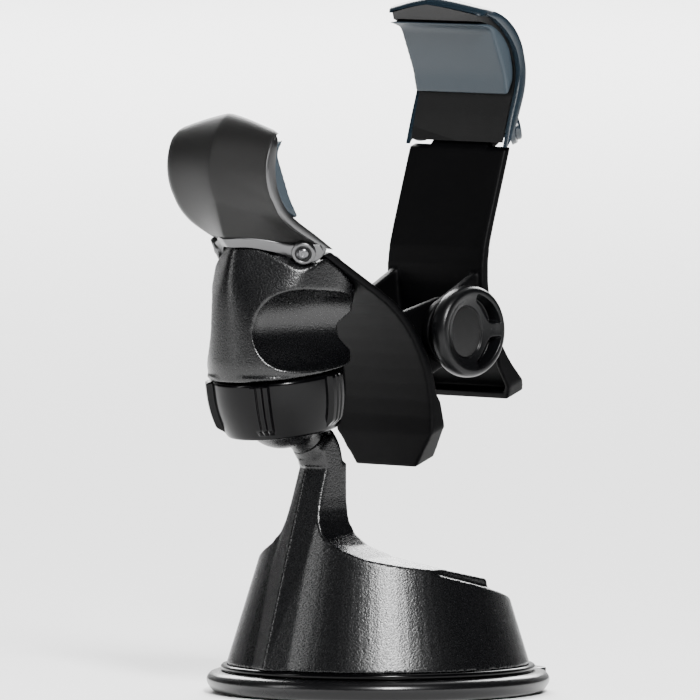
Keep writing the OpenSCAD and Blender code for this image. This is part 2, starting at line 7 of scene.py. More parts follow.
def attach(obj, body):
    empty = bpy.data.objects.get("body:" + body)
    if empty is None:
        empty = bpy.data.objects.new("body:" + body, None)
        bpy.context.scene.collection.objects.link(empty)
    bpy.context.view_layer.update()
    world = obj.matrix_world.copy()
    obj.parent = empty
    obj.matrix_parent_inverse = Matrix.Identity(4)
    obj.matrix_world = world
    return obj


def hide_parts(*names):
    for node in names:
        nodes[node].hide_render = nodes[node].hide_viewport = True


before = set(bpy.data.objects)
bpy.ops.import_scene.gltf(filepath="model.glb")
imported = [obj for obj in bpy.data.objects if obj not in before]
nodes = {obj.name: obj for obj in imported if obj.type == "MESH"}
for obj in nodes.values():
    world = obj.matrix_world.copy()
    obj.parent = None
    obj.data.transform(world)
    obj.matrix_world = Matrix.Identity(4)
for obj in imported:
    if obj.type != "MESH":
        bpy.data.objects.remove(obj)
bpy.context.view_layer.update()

MM = 0.001


# ---------- frames, as in the CAD model, in millimetres ----------
HINGE = (8.6, 0, 74.8)
BALL = (-27.6, 0, 59.8)


def turned(angle, at):
    """Frame at a point, turned about Y by an angle in degrees."""
    return Matrix.Translation(Vector(at)) @ Matrix.Rotation(math.radians(angle), 4, "Y")


ROW = Matrix.Identity(4)
FAR = turned(-21.5, HINGE)
NEAR = FAR @ Matrix.Diagonal((-1, 1, 1, 1))
SOCKET = turned(-8.5, BALL)
STEM = turned(133, BALL)
AXLE = FAR @ Matrix.Rotation(math.radians(90), 4, "X")


# ---------- materials ----------
TONE_SCALE = 70
BRUSH_SCALE = 900
GRAIN_DEPTH = 0.12


def material(name, color, rough, metal=0.0, specular=0.5,
             grain=0.0, grain_size=0.4, rough_var=0.06, tint=0.15, brushed=0.0, sparkle=0.0):
    """Moulded, painted or metal surface with fine grain, uneven gloss and a slight change of tone."""
    mat = bpy.data.materials.new(name)
    mat.use_nodes = True
    nt = mat.node_tree
    nt.nodes.clear()
    new = nt.nodes.new
    out = new("ShaderNodeOutputMaterial")
    bsdf = new("ShaderNodeBsdfPrincipled")
    nt.links.new(bsdf.outputs[0], out.inputs[0])
    bsdf.inputs["Metallic"].default_value = metal
    bsdf.inputs["Specular IOR Level"].default_value = specular
    coords = new("ShaderNodeTexCoord")
    broad = new("ShaderNodeTexNoise")
    broad.inputs["Scale"].default_value = TONE_SCALE
    broad.inputs["Detail"].default_value = 3
    nt.links.new(coords.outputs["Object"], broad.inputs["Vector"])
    mix = new("ShaderNodeMix")
    mix.data_type = "RGBA"
    low = tuple(c * (1 - tint) for c in color)
    high = tuple(min(1, c * (1 + tint)) for c in color)
    mix.inputs[6].default_value = (*low, 1)
    mix.inputs[7].default_value = (*high, 1)
    nt.links.new(broad.outputs[0], mix.inputs[0])
    nt.links.new(mix.outputs[2], bsdf.inputs["Base Color"])
    span = new("ShaderNodeMapRange")
    span.inputs[3].default_value = rough - rough_var
    span.inputs[4].default_value = rough + rough_var
    source = broad
    if grain or sparkle:
        fine = new("ShaderNodeTexNoise")
        fine.inputs["Scale"].default_value = 1 / (grain_size * MM)
        fine.inputs["Detail"].default_value = 2
        fine.inputs["Roughness"].default_value = 0.6
        nt.links.new(coords.outputs["Object"], fine.inputs["Vector"])
        height = fine.outputs[0]
        if brushed:
            lines = new("ShaderNodeTexNoise")
            lines.inputs["Scale"].default_value = BRUSH_SCALE
            stretch = new("ShaderNodeMapping")
            stretch.inputs["Scale"].default_value = (1, brushed, 1)
            nt.links.new(coords.outputs["Object"], stretch.inputs["Vector"])
            nt.links.new(stretch.outputs[0], lines.inputs["Vector"])
            height = lines.outputs[0]
        bump = new("ShaderNodeBump")
        bump.inputs["Strength"].default_value = grain
        bump.inputs["Distance"].default_value = GRAIN_DEPTH * MM
        nt.links.new(height, bump.inputs["Height"])
        nt.links.new(bump.outputs[0], bsdf.inputs["Normal"])
        if sparkle:
            source = fine
    nt.links.new(source.outputs[0], span.inputs[0])
    nt.links.new(span.outputs[0], bsdf.inputs["Roughness"])
    return mat


M = {
    "textured": material("spark_black", (0.0014, 0.0015, 0.0018), 0.27, grain=0.5, grain_size=0.36,
                         sparkle=1, rough_var=0.10),
    "gloss": material("gloss_black", (0.0008, 0.0008, 0.001), 0.17, grain=0.06, grain_size=1.2,
                      specular=0.16),
    "satin": material("satin_black", (0.0006, 0.0006, 0.0008), 0.5, grain=0.2, grain_size=0.25,
                      specular=0.07),
    "inner": material("inner_black", (0.0009, 0.0009, 0.001), 0.5, grain=0.3, grain_size=0.3, specular=0.3),
    "rubber": material("cup_rubber", (0.0022, 0.0022, 0.0026), 0.26, grain=0.12, grain_size=0.8),
    "steel": material("steel", (0.42, 0.42, 0.44), 0.30, metal=1, grain=0.15, brushed=14),
    "dark_steel": material("dark_steel", (0.16, 0.16, 0.165), 0.32, metal=1, grain=0.1, grain_size=0.3),
    "spring": material("spring_steel", (0.30, 0.30, 0.32), 0.32, metal=1, grain=0.1, grain_size=0.3),
    "brass": material("insert_brass", (0.20, 0.14, 0.06), 0.34, metal=1, grain=0.15, brushed=10),
    "liner": material("liner_plastic", (0.55, 0.53, 0.48), 0.45, grain=0.1, grain_size=0.5),
    "wheel": material("wheel_satin", (0.0018, 0.0019, 0.0022), 0.30, grain=0.14, grain_size=0.22,
                      specular=0.22),
    "gunmetal": material("gunmetal", (0.012, 0.0118, 0.0116), 0.47, metal=0.6, grain=0.14,
                         grain_size=0.16, tint=0.06, rough_var=0.03),
    "silver": material("silver_trim", (0.13, 0.13, 0.132), 0.34, metal=1, grain=0.08, grain_size=0.2,
                       tint=0.04),
    "navy": material("far_navy", (0.006, 0.012, 0.018), 0.22, grain=0.05, grain_size=0.6, specular=0.6),
    # Pad rubber: dark grey of its own, with a blue cast that is a painted reflection of the phone held
    # against the pad
    "pad": material("pad_rubber", (0.019, 0.029, 0.038), 0.5, grain=0.35, grain_size=0.3, tint=0.08,
                    specular=0.4),
}


# ---------- mesh helpers ----------
def tidy(me, sharp):
    """Joins doubled points, turns faces outwards and smooths edges below an angle."""
    bm = bmesh.new()
    bm.from_mesh(me)
    bmesh.ops.remove_doubles(bm, verts=bm.verts, dist=2e-6)
    bmesh.ops.dissolve_degenerate(bm, edges=bm.edges, dist=1e-6)
    bmesh.ops.recalc_face_normals(bm, faces=bm.faces)
    bm.to_mesh(me)
    bm.free()
    me.shade_smooth()
    me.set_sharp_from_angle(angle=math.radians(sharp))


def make(name, parts, place=ROW, sharp=32):
    """One mesh object from (points, faces) parts given in a local frame in millimetres."""
    points, faces = [], []
    for p, f in parts:
        n = len(points)
        points += [(place @ Vector(v)) * MM for v in p]
        faces += [[n + i for i in g] for g in f]
    me = bpy.data.meshes.new(name)
    me.from_pydata(points, [], faces)
    me.update()
    tidy(me, sharp)
    obj = bpy.data.objects.new(name, me)
    bpy.context.scene.collection.objects.link(obj)
    return obj


def dress(obj, body, mat, slot, *replaced):
    """Gives a piece its material and body, and hides the CAD nodes that it stands for; slot is not used."""
    obj.data.materials.clear()
    obj.data.materials.append(M[mat])
    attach(obj, body)
    if replaced:
        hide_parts(*replaced)
    return obj


def skin(rings, caps=True, wrap=False):
    """Faces through equal rings of points; wrap joins the last ring to the first."""
    n, m = len(rings[0]), len(rings)
    points = [p for r in rings for p in r]
    faces = []
    for i in range(m if wrap else m - 1):
        k = (i + 1) % m
        faces += [[i * n + j, i * n + (j + 1) % n, k * n + (j + 1) % n, k * n + j] for j in range(n)]
    if caps and not wrap:
        faces += [list(range(n - 1, -1, -1)), [(m - 1) * n + j for j in range(n)]]
    return points, faces


def rounded(points, radius, steps=4):
    """A closed outline with its corners rounded; radius is one size or one for each corner."""
    out, n = [], len(points)
    for i, p in enumerate(points):
        r = radius[i] if isinstance(radius, (list, tuple)) else radius
        p, a, b = Vector(p), Vector(points[i - 1]), Vector(points[(i + 1) % n])
        if r <= 0:
            out.append(tuple(p))
            continue
        ka = min(r / max((a - p).length, 1e-9), 0.45)
        kb = min(r / max((b - p).length, 1e-9), 0.45)
        pa, pb = p + (a - p) * ka, p + (b - p) * kb
        for s in range(steps + 1):
            t = s / steps
            out.append(tuple(pa * (1 - t) ** 2 + p * 2 * t * (1 - t) + pb * t * t))
    return out


def lathe(outline, n=192):
    """Turns a closed outline of (radius, height) round Z."""
    rings = []
    for i in range(n):
        a = 2 * math.pi * i / n
        rings.append([(max(r, 0) * math.cos(a), max(r, 0) * math.sin(a), h) for r, h in outline])
    return skin(rings, wrap=True)


def prism(outline, half, bevel, steps):
    """Outline in x and z extruded half each way along y, with rounded-over ends."""
    n = len(outline)
    area = sum(outline[i - 1][0] * outline[i][1] - outline[i][0] * outline[i - 1][1] for i in range(n))
    sign = 1 if area > 0 else -1

    def inset(d):
        out = []
        for i in range(n):
            a, p, b = (Vector(outline[k % n]) for k in (i - 1, i, i + 1))
            u, w = (p - a).normalized(), (b - p).normalized()
            na, nb = Vector((-u.y, u.x)) * sign, Vector((-w.y, w.x)) * sign
            k = na + nb
            k = k / max(k.length_squared / 2, 0.35)
            out.append(p + k * d)
        return out

    rings = []
    for s in range(steps, -1, -1):
        t = math.pi / 2 * s / steps
        y = bevel * (1 - math.sin(t)) - half
        rings.append([(q.x, y, q.y) for q in inset(bevel * (1 - math.cos(t)))])
    far = [[(x, -y, z) for x, y, z in r] for r in rings[::-1]]
    return skin(rings + far)


def evaluated(obj):
    """Applies an object's modifiers."""
    dg = bpy.context.evaluated_depsgraph_get()
    me = bpy.data.meshes.new_from_object(obj.evaluated_get(dg))
    old = obj.data
    obj.modifiers.clear()
    obj.data = me
    bpy.data.meshes.remove(old)
    return obj


def combined(obj, operation, others):
    """Booleans an object with each of the others in turn, and removes them."""
    for other in others:
        mod = obj.modifiers.new("boolean", "BOOLEAN")
        mod.operation = operation
        mod.solver = "MANIFOLD"
        mod.object = other
        evaluated(obj)
        bpy.data.objects.remove(other)


def subtract(obj, *cutters):
    combined(obj, "DIFFERENCE", cutters)


def unite(obj, *others):
    combined(obj, "UNION", others)


def fused(obj, voxel, rounds, keep=1.0):
    """Remeshes an object by voxels and softens its edges, as a mould leaves them; keep thins the mesh."""
    mod = obj.modifiers.new("fuse", "REMESH")
    mod.mode = "VOXEL"
    mod.voxel_size = voxel * MM
    mod.adaptivity = 0
    evaluated(obj)
    mod = obj.modifiers.new("soften", "SMOOTH")
    mod.factor = 0.5
    mod.iterations = rounds
    if keep < 1:
        mod = obj.modifiers.new("thin", "DECIMATE")
        mod.ratio = keep
    evaluated(obj)
    obj.data.shade_smooth()


def copy_of(node, name):
    """New object with a copy of a CAD node's mesh; the node itself stays as it is."""
    me = nodes[node].data.copy()
    obj = bpy.data.objects.new(name, me)
    bpy.context.scene.collection.objects.link(obj)
    tidy(me, 30)
    return obj


def smooth_line(points, n):
    """n points on a Catmull-Rom curve through the given ones."""
    p = [Vector(q) for q in points]
    p = [p[0] * 2 - p[1]] + p + [p[-1] * 2 - p[-2]]
    out, m = [], len(points) - 1
    for i in range(n):
        u = i / (n - 1) * m
        k = min(int(u), m - 1)
        t = u - k
        a, b, c, d = p[k], p[k + 1], p[k + 2], p[k + 3]
        out.append(0.5 * ((2 * b) + (c - a) * t + (2 * a - 5 * b + 4 * c - d) * t * t
                          + (3 * b - a - 3 * c + d) * t ** 3))
    return out


# ---------- camera, floor and lights ----------
scene = bpy.context.scene
AZ, EL = math.radians(-43.7), math.radians(3.0)
DISTANCE = 3.5
FRAME_WIDTH = 0.1449
SENSOR = 36
back = Vector((math.sin(AZ) * math.cos(EL), -math.cos(AZ) * math.cos(EL), math.sin(EL)))
right = Vector((math.cos(AZ), math.sin(AZ), 0))
up = back.cross(right)
aim = (right * -5.8 + up * 70.5) * MM
cam = bpy.data.objects.new("camera", bpy.data.cameras.new("camera"))
scene.collection.objects.link(cam)
cam.data.sensor_width = SENSOR
cam.data.lens = SENSOR * DISTANCE / FRAME_WIDTH
cam.data.clip_start, cam.data.clip_end = 0.1, 60
cam.location = aim + back * DISTANCE
cam.rotation_mode = "QUATERNION"
cam.rotation_quaternion = back.to_track_quat("Z", "Y")
scene.camera = cam

REACH = 9
FLOOR_Z = -0.0002
WALL_GAP = 7
pale = material("floor_pale", (0.86, 0.86, 0.86), 0.7, specular=0.2, tint=0.01)


def backdrop(name, corners):
    """One flat sheet of the studio."""
    obj = bpy.data.objects.new(name, bpy.data.meshes.new(name))
    obj.data.from_pydata(corners, [], [[0, 1, 2, 3]])
    scene.collection.objects.link(obj)
    obj.data.materials.append(pale)


backdrop("floor", [(x * REACH, y * REACH, FLOOR_Z) for x, y in ((-1, -1), (1, -1), (1, 1), (-1, 1))])
away = Vector((-back.x, -back.y, 0)).normalized() * WALL_GAP
backdrop("wall", [tuple(right * x + away + Vector((0, 0, z)))
                  for x, z in ((-REACH, -1), (REACH, -1), (REACH, 8), (-REACH, 8))])

world = bpy.data.worlds.new("studio")
scene.world = world
world.use_nodes = True
world.node_tree.nodes["Background"].inputs[0].default_value = (1, 1, 1, 1)
world.node_tree.nodes["Background"].inputs[1].default_value = 0.05


def light(name, direction, gap, wide, tall, power, middle=(-0.01, 0, 0.07)):
    """Area light seen from a middle point in a direction given in camera axes: right, up, back."""
    d = (right * direction[0] + up * direction[1] + back * direction[2]).normalized()
    data = bpy.data.lights.new(name, "AREA")
    data.shape = "RECTANGLE"
    data.size, data.size_y = wide, tall
    data.energy = power
    obj = bpy.data.objects.new(name, data)
    scene.collection.objects.link(obj)
    obj.location = Vector(middle) + d * gap
    obj.rotation_mode = "QUATERNION"
    obj.rotation_quaternion = d.to_track_quat("Z", "Y")


light("key", (0.16, 0.52, 0.84), gap=1.2, wide=0.14, tall=0.34, power=32.0)
light("left", (-1.0, 0.35, 0.35), gap=0.9, wide=0.10, tall=0.5, power=1.8)
light("top", (0.2, 1.0, -0.25), gap=1.0, wide=0.6, tall=0.6, power=1.8)
# The pale sweep behind the object gets its own light, out of the object's reach
light("sweep", (0, 0.35, -0.3), gap=0.1, wide=5.0, tall=3.0, power=900,
      middle=-back * 4.2 + Vector((0, 0, 3.2)))

# ---------- base ----------
# Suction cup: thin membrane, fat glossy lip
cup = rounded([(0, 1.2), (9, 1.2), (9, 3.6), (12, 3.6), (13, 2.6), (26.5, 2.6), (29.2, 4.3), (34.4, 4.3),
               (35.5, 3.1), (35.5, 1.9), (34.2, 0.0), (31.4, 0.0), (31, 0.5), (30.2, 0.5), (29.8, 0), (0, 0)],
              [0, 0.3, 0.3, 0.6, 0.6, 1.5, 1.0, 1.2, 0.8, 0.8, 1.4, 0.2, 0.2, 0.2, 0.2, 0], 5)
tab = rounded([(33, -5.5), (39.5, -5.5), (45, -5.4), (45, 5.4), (39.5, 5.5), (33, 5.5)],
              [0, 1, 5.2, 5.2, 1, 0], 10)
tab_rings = [[(x if x < 34 else x - d * (x - 39) / 6, y * (1 - d / 5.5), z) for x, y in tab]
             for z, d in ((1.8, 0.35), (1.92, 0.1), (2.1, 0), (2.8, 0), (2.98, 0.1), (3.1, 0.35))]
dress(make("cup", [lathe(cup, 256), skin(tab_rings)]), "base", "rubber", "cup_rubber", "suction_cup")

skirt = rounded([(25.4, 4.5), (32.5, 4.5), (32.6, 4.8), (32.6, 5.3), (32.2, 5.7), (25.4, 5.7)], 0.2)
dress(make("skirt", [lathe(skirt, 256)]), "base", "gloss", "gloss_black", "base_skirt")

shell = copy_of("base_shell", "shell")
fused(shell, 0.36, 4, 0.6)
dress(shell, "base", "textured", "textured_black", "base_shell")

lever = copy_of("suction_lever", "lever")
fused(lever, 0.22, 5, 0.5)
dress(lever, "lever", "textured", "textured_black", "suction_lever")

# Ball and stem, with the stem's small fillet
ball = [(8.5 * math.sin(math.radians(a)), -8.5 * math.cos(math.radians(a))) for a in range(0, 151, 3)]
ball += [(3.95, 7.9), (3.75, 8.4), (3.7, 9.0), (3.7, 10.1), (2.5, 10.1), (2.5, 20), (0, 20)]
dress(make("ball", [lathe(ball, 160)], STEM), "base", "textured", "textured_black", "ball_stud")


# Collar nut: five double ribs stand out of its wall
RIB_PITCH = 72
RIB_TURN = 5.7
RIB_PROUD = 1.25


def eased(x):
    """0 to 1 with a soft start and end."""
    x = max(0.0, min(1.0, x))
    return x * x * (3 - 2 * x)


def collar():
    outer = rounded([(11.0, -4.8), (11.7, -4.75), (12.5, -2.8), (13.3, 0), (13.75, 3), (13.8, 6.9),
                     (13.3, 7.4), (12.3, 7.4)], [0.1, 1.0, 2.5, 3.0, 2.0, 0.5, 0.5, 0.1], 6)
    inner = [(12.27, 2.3), (12.15, 2.0), (10.72, -3.0), (9.1, -3.02), (9.1, -3.5), (10.1, -4.78)]
    n, rings = 720, []
    for i in range(n):
        a = 360 * i / n
        d = (a + RIB_TURN + RIB_PITCH / 2) % RIB_PITCH - RIB_PITCH / 2
        rib = eased((8.6 - abs(d)) / 1.3)
        groove = max(0.0, 1 - abs(abs(d) - 2.6) / 1.1)
        ring = []
        for r, z in outer:
            ends = eased(max(0.0, min(1.0, (z + 3.9) / 1.6)) * max(0.0, min(1.0, (7.4 - z) / 0.55)))
            ring.append((r + ends * rib * (RIB_PROUD - 0.35 * groove), z))
        ca, sa = math.cos(math.radians(a)), math.sin(math.radians(a))
        rings.append([(r * ca, r * sa, z) for r, z in ring + inner])
    return skin(rings, wrap=True)


dress(make("collar", [collar()], SOCKET), "collar", "gloss", "gloss_black", "collar_nut")


# ---------- lines of the claw, used by the housing under it as well ----------
HALF = 15.2
PIN = (32.9, 31.6)


def bent(foot, centre, radius, a0, a1, n_low=16, n_high=36):
    """A line up the claw: a smooth foot, then an arc over to the tip."""
    arc = [(centre[0] + radius * math.cos(math.radians(a0 + (a1 - a0) * k / (n_high - 1))),
            centre[1] + radius * math.sin(math.radians(a0 + (a1 - a0) * k / (n_high - 1))))
           for k in range(n_high)]
    low = smooth_line(foot + [arc[0], arc[3]], n_low * 2)
    low = [p for p in low if p.y < arc[0][1] - 0.15]
    return low, [Vector(p) for p in arc]


def resampled(line, n):
    """n points evenly spaced along a line."""
    gaps = [0]
    for a, b in zip(line, line[1:]):
        gaps.append(gaps[-1] + (b - a).length)
    out, k = [], 0
    for i in range(n):
        d = gaps[-1] * i / (n - 1)
        while k < len(line) - 2 and gaps[k + 1] < d:
            k += 1
        out.append(line[k].lerp(line[k + 1], (d - gaps[k]) / max(gaps[k + 1] - gaps[k], 1e-9)))
    return out


def both(foot, *arc):
    low, high = bent(foot, *arc)
    return low + high


N = 52
EDGE = resampled(both([(29.3, 31.4), (32.9, 35.2), (36.0, 39.0), (37.8, 42.6)],
                      (26.9, 48), 11.75, -10, 66), N)
RIDGE = resampled(both([(41.4, 38.0), (41.1, 42.0)], (26.6, 48), 14.3, -8, 76), N)
INNER = resampled(smooth_line([(26.6, 29.8), (30.2, 34.7), (33.9, 39.4), (35.8, 42.7), (36.5, 46.2),
                               (36.3, 49), (35.3, 52.3), (33.3, 55.8), (31.5, 58.3)], 90), N)
UNDER = resampled(smooth_line([(27.2, 30.6), (30.0, 34.8), (32.8, 38.6), (35.3, 42.5), (36.0, 46.0),
                               (35.7, 49.6), (34.2, 53), (31.6, 55.7), (30.6, 56.4)], 90), N)


def normals(line):
    """Unit normals of a line, out of its bulging side."""
    out = []
    for k in range(len(line)):
        t = (line[min(k + 1, len(line) - 1)] - line[max(k - 1, 0)]).normalized()
        out.append(Vector((t.y, -t.x)))
    return out


EDGE_N = normals(EDGE)


def rounding(k, last):
    """0 along the claw, rising as a quarter circle to 1 over its last stations."""
    e = max(0.0, (k - (N - 1 - last)) / last)
    return 1 - math.sqrt(max(0.0, 1 - e * e))


def half_at(k):
    """Half width of the claw, drawn in round its tip corners."""
    return HALF - 1.3 * rounding(k, 7)


def crown(v):
    """Height of the claw's face above its edge, as a share, at a share v of the half width."""
    return 1 - 0.72 * v - 0.28 * v * v


def soft_crown(v, blunt):
    """The crown with its middle fold blunted."""
    return crown(math.sqrt(v * v + blunt)) if v < 0.2 else crown(v)


def face_point(k, v, deep):
    """Point under the claw's face at station k, share v of the half width, by a depth."""
    return EDGE[k] + (RIDGE[k] - EDGE[k]) * soft_crown(v, 0.0009) - EDGE_N[k] * deep


# Heights of the band's top and bottom edges, by the share of the half width
BAND_TOP = smooth_line([(0, 38.0), (0.25, 37.4), (0.46, 36.1), (0.6, 34.9), (0.71, 34.1), (0.8, 33.6),
                        (0.9, 33.2), (1.0, 32.3)], 61)
BAND_LOW = smooth_line([(0, 35.8), (0.25, 34.9), (0.46, 33.2), (0.6, 31.7), (0.71, 30.4), (0.8, 29.4),
                        (0.88, 28.95), (0.95, 29.4), (1.0, 30.5)], 61)


def band_height(line, v):
    """Height of one of the band's edges at a share of the half width."""
    k = min(range(len(line)), key=lambda i: abs(line[i].x - v))
    if line[k].x > v and k:
        k -= 1
    a, b = line[k], line[min(k + 1, len(line) - 1)]
    return a.y + (b.y - a.y) * max(0.0, min(1.0, (v - a.x) / max(b.x - a.x, 1e-6)))


# ---------- housing ----------
HEAD_X = -28.6
HEAD_BACK, HEAD_SIDE = 14.9, 14.3
HEAD_LOW, HEAD_HIGH = 64, 95
FACET_TURN = 34
FACET_POWER = 16
SCOOP = (-38.0, 15.0, 76.3)
SCOOP_R = 9.5
SCOOP_FLAT = 0.93
WIDE = 30


def housing_ring(z):
    """Round section about the socket that turns into the claw's two facets towards the top."""
    n, ring = 144, []
    low = max(0.0, min(1.0, (70.0 - z) / 6))
    jaw_reach = 15.5 + max(0.0, z - 79) * 0.4
    facet = 11.0 + 0.29 * (93 - z)
    for i in range(n):
        t = 2 * math.pi * i / n
        a = HEAD_BACK if math.cos(t) < 0 else jaw_reach
        r = 1 / math.sqrt((math.cos(t) / a) ** 2 + (math.sin(t) / HEAD_SIDE) ** 2)
        for side in (-1, 1):
            c = math.cos(t - math.radians(180 - FACET_TURN * side))
            if c > 0.15:
                r = (r ** -FACET_POWER + (facet / c) ** -FACET_POWER) ** (-1 / FACET_POWER)
        r *= 1 - 0.075 * low * low
        ring.append((HEAD_X + r * math.cos(t), r * math.sin(t), z))
    return ring


def jaw_out(h):
    """Outer face of a jaw plate at a height: a leaning foot, an arc and a flared top."""
    radius, centre, middle = 30, 41.1, -3.5
    foot_top, bend, lean, flare = -17, 14, 0.3, 0.787

    def arc(x):
        return centre - math.sqrt(radius ** 2 - (x - middle) ** 2)

    if h < foot_top:
        return arc(foot_top) + (foot_top - h) * lean
    return arc(h) if h < bend else arc(bend) + (h - bend) * flare


def cutter(outline, place=ROW):
    """Straight prism of an outline in x and z, right through the housing."""
    return make("cut", [skin([[(x, y, z) for x, z in outline] for y in (-WIDE, WIDE)])], place, 30)


def thumb_cut(sign):
    """Ball with a tapering trough running on from it towards the jaw."""
    line = []
    for k in range(1, 16):
        a = math.radians(180 - 90 * k / 15)
        line.append((SCOOP[0] + SCOOP_R * math.cos(a), SCOOP_R * math.sin(a)))
    line += [(SCOOP[0] + 34 * k / 14, SCOOP_R - 3.0 * k / 14) for k in range(1, 15)]
    turns = [2 * math.pi * i / 72 for i in range(72)]
    rings = [[(x, sign * SCOOP[1] + r * math.cos(t), SCOOP[2] + r * math.sin(t) * SCOOP_FLAT) for t in turns]
             for x, r in line]
    return make("cut", [skin(rings)], ROW, 60)


# Only the jaw side and the socket come from the CAD node; the round body takes over above
housing = copy_of("head_housing", "housing")
layers = [HEAD_LOW + (HEAD_HIGH - HEAD_LOW) * i / 62 for i in range(63)]
round_body = make("round", [skin([housing_ring(z) for z in layers])])
subtract(housing, cutter([(-60, 66.5), (-22, 66.5), (-22, 100), (-60, 100)]))
unite(housing, round_body)
seam = make("cut", [lathe([(12.2, -12), (40, -12), (40, 0.35), (12.2, 0.35)], 128)],
            SOCKET @ Matrix.Translation(Vector((0, 0, 7.4))))
heights = [-24 + 53.4 * i / 30 for i in range(31)]
behind = cutter([(jaw_out(h) + 0.05, h) for h in heights] + [(-20, 29.4), (-20, -24)], NEAR)
claw_gap = cutter([(15, 29.2), (28, 29.2), (30, 32.3), (36.3, 32.3), (36.3, 60), (15, 60)], NEAR)
under_band = [(HALF * j / 30, band_height(BAND_LOW, abs(j) / 30) - 0.42) for j in range(-30, 31)]
under_band += [(HALF, 60), (-HALF, 60)]
above = make("cut", [skin([[(x, y, z) for y, z in under_band] for x in (26, 48)])], NEAR)
throat = cutter([(-10, 60), (-10, 79.8), (-15.2, 79.4), (-18.4, 77), (-18.4, 74.5), (-15.8, 70.5),
                 (-13.2, 66.5), (-13.2, 60)])
subtract(housing, seam, behind, claw_gap, above, throat, thumb_cut(1), thumb_cut(-1))
fused(housing, 0.26, 14, 0.6)
dress(housing, "head", "textured", "textured_black", "head_housing")

for side, body in (("near", "head"), ("far", "far_jaw")):
    plate = copy_of(side + "_jaw_plate", side + "_plate")
    fused(plate, 0.27, 16, 0.6)
    dress(plate, body, "satin", "satin_black", side + "_jaw_plate")


# ---------- thumb wheel ----------
def window(k):
    """Outline of one opening in the wheel's plane: a wide egg, then the two wedges beside it."""
    if k == 0:
        pts = [(3.3, 0), (2.2, 3.4), (-0.6, 5.2), (-3.4, 4.5), (-5.1, 2.2), (-5.3, 0),
               (-5.1, -2.2), (-3.4, -4.5), (-0.6, -5.2), (2.2, -3.4)]
    else:
        sign = 3 - 2 * k
        pts = [(7.45 * math.cos(math.radians(a)), sign * 7.45 * math.sin(math.radians(a)))
               for a in (14, 24, 36, 48, 60, 70, 78)]
        pts += [(1.6, sign * 6.1), (2.8, sign * 4.9), (4.0, sign * 3.2), (5.4, sign * 1.7)]
    loop = smooth_line(pts + [pts[0]], 65)[:-1]
    return [(p.x, p.y) for p in loop]


def wheel_object():
    rim = rounded([(0, -2.2), (8.7, -2.2), (9.5, -1.2), (9.5, 0.8), (8.7, 1.9), (7.7, 1.95), (6.2, 1.0),
                   (3.0, 0.7), (0, 0.6)], [0, 1.0, 1.0, 1.0, 1.1, 1.2, 1.2, 1.2, 0], 6)
    obj = make("wheel", [lathe(rim)])
    for k in range(3):
        opening = window(k)
        mx, my = (sum(p[i] for p in opening) / len(opening) for i in (0, 1))
        floor_z = WELL_Z if k == 0 else WEDGE_Z
        rings = [[(mx + (x - mx) * s, my + (y - my) * s, z) for x, y in opening]
                 for z, s in ((floor_z, 0.97), (0.4, 1.0), (0.7, 1.03), (1.4, 1.12), (4, 1.3))]
        subtract(obj, make("cut", [skin(rings)]))
    subtract(obj, make("cut", [lathe([(0, -4), (3.06, -4), (3.06, 0.1), (0, 0.1)], 96)]))
    return obj


WELL_Z, WEDGE_Z = 0.34, -1.2
WHEEL_Y = -18
WHEEL_TURN = -20
WHEEL = (FAR @ Matrix.Translation(Vector((0, WHEEL_Y, 0))) @ Matrix.Rotation(math.radians(90), 4, "X")
         @ Matrix.Rotation(math.radians(WHEEL_TURN), 4, "Z"))
wheel = wheel_object()
for move in (Matrix.Scale(1 / MM, 4), WHEEL, Matrix.Scale(MM, 4)):
    wheel.data.transform(move)
fused(wheel, 0.13, 2, 0.35)
dress(wheel, "wheel", "wheel", "wheel_grey", "thumb_wheel")

# Painted shade: a dark sheet over the threaded insert darkens the floor of the wide opening, where shade
# falls
painted_shade_floor = [[(-1 + (x + 1) * f, y * f, z) for x, y in window(0)]
        for z, f in ((0.2, 0.98), (0.42, 0.98), (0.46, 0.94))]
dress(make("painted_shade_floor", [skin(painted_shade_floor)], WHEEL), "wheel", "inner", "wheel_grey")


# ---------- claws ----------
SHELL_SHARES = (0.0, 0.03, 0.1, 0.2, 0.3, 0.4, 0.5, 0.6, 0.7, 0.8, 0.87, 0.92, 0.955, 0.98, 0.993)
SHELL_DEPTH = 1.55
BODY_DEPTH = 1.6
FOOT_TUCK = 0.25
LIP_FROM = 0.92


def mirrored(half):
    """Closes a half section that runs from the middle round to the middle again."""
    return half + [(x, -y, z) for x, y, z in half[-2:0:-1]]


def claw_shell_rings():
    rings = []
    for k in range(N):
        foot = FOOT_TUCK if k == 0 else 0.0
        outer = []
        for v in SHELL_SHARES:
            lip = max(0.0, (v - LIP_FROM) / 0.073)
            q = face_point(k, v, rounding(k, 4) + foot + 0.42 * lip * lip)
            outer.append((q.x, half_at(k) * v, q.y))
        inner = []
        for v in (0.93, 0.8, 0.6, 0.4, 0.2, 0.0):
            q = face_point(k, v, SHELL_DEPTH - foot)
            inner.append((q.x, min(HALF * v, half_at(k) - 1.4), q.y))
        rings.append(mirrored(outer + inner))
    return rings


def body_rings():
    """Dark filling between the shell and the inner line."""
    rings, low = [], 14
    for k in range(N):
        outer = []
        for v in (0.0, 0.2, 0.4, 0.6, 0.8, 0.9):
            q = face_point(k, v, BODY_DEPTH)
            if k < low:
                q = q.lerp(EDGE[k] - EDGE_N[k] * BODY_DEPTH, 0.75 * (1 - k / low))
            outer.append((q.x, HALF * v, q.y))
        u = UNDER[k]
        half = outer + [(u.x, HALF * 0.9, u.y), (u.x, 0, u.y)]
        rings.append(mirrored([(x, y * half_at(k) / HALF, z) for x, y, z in half]))
    return rings


